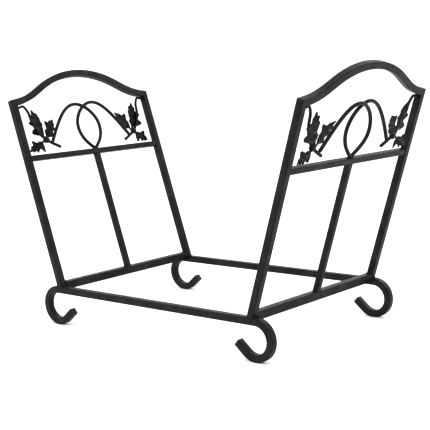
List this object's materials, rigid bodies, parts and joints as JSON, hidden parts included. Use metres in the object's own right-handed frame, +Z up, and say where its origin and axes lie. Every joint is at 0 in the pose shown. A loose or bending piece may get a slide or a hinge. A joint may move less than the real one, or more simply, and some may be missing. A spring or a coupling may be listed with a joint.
{
  "type": "firewood log rack",
  "caption": "Welded steel firewood rack: two rails on C-scroll feet, outward-leaning end frames with arched tops, looped scroll wires and leaf sprigs.",
  "frame": {"origin": "on the floor, at the centre of the rack", "axes": "+X along the length of the rack, to the right as seen from the front; the front faces -Y; +Z up"},
  "size_m": [0.6882, 0.35, 0.4523],
  "materials": {
    "bar_coat": "satin black powder coat on square steel bar",
    "wire_coat": "satin black powder coat on round steel wire",
    "leaf_coat": "satin black powder coat over the veins of pressed steel leaves"
  },
  "bodies": {
    "root": {"front_rail": "bar_coat", "rear_rail": "bar_coat", "left_arch_rail": "bar_coat", "left_cross_rail": "bar_coat", "left_bottom_bar": "bar_coat", "left_centre_bar": "bar_coat", "left_front_upright": "bar_coat", "left_front_scroll_wire": "wire_coat", "left_front_stem": "wire_coat", "left_front_upper_leaf": "leaf_coat", "left_front_inner_leaf": "leaf_coat", "left_front_lower_leaf": "leaf_coat", "left_rear_upright": "bar_coat", "left_rear_scroll_wire": "wire_coat", "left_rear_stem": "wire_coat", "left_rear_upper_leaf": "leaf_coat", "left_rear_inner_leaf": "leaf_coat", "left_rear_lower_leaf": "leaf_coat", "right_arch_rail": "bar_coat", "right_cross_rail": "bar_coat", "right_bottom_bar": "bar_coat", "right_centre_bar": "bar_coat", "right_front_upright": "bar_coat", "right_front_scroll_wire": "wire_coat", "right_front_stem": "wire_coat", "right_front_upper_leaf": "leaf_coat", "right_front_inner_leaf": "leaf_coat", "right_front_lower_leaf": "leaf_coat", "right_rear_upright": "bar_coat", "right_rear_scroll_wire": "wire_coat", "right_rear_stem": "wire_coat", "right_rear_upper_leaf": "leaf_coat", "right_rear_inner_leaf": "leaf_coat", "right_rear_lower_leaf": "leaf_coat"}
  },
  "joints": []
}
